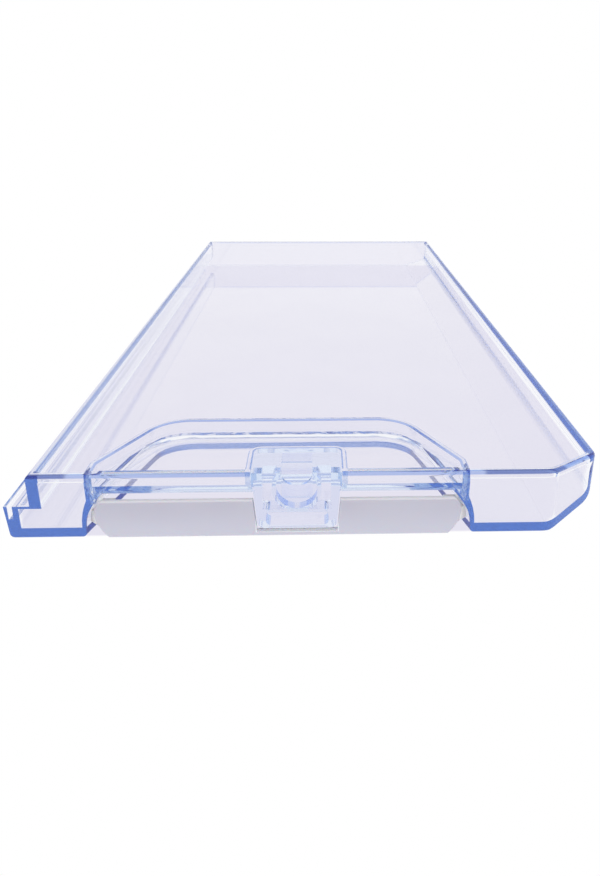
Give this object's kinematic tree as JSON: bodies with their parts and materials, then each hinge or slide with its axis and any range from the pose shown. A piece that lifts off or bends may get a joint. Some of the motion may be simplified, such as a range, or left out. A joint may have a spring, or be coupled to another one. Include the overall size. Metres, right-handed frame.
{
  "type": "freezer compartment door",
  "caption": "Clear blue-tinted tray-shaped door for a freezer compartment, with a white pull handle in a finger pocket and a clear snap catch at its free end.",
  "frame": {"origin": "centre of the bounding box at the front face, on which the door lies", "axes": "+Y along the door from the handle end to the hinge end, +Z from the front face towards the open back, +X from the lipped long edge to the sloped long edge"},
  "size_m": [0.1986, 0.4614, 0.0225],
  "materials": {
    "clear_panel": "clear, blue tint",
    "white_plastic": "satin",
    "clear_catch": "clear"
  },
  "bodies": {
    "root": {"door_panel": "clear_panel", "pull_handle": "white_plastic", "catch_housing": "clear_catch"}
  },
  "joints": []
}
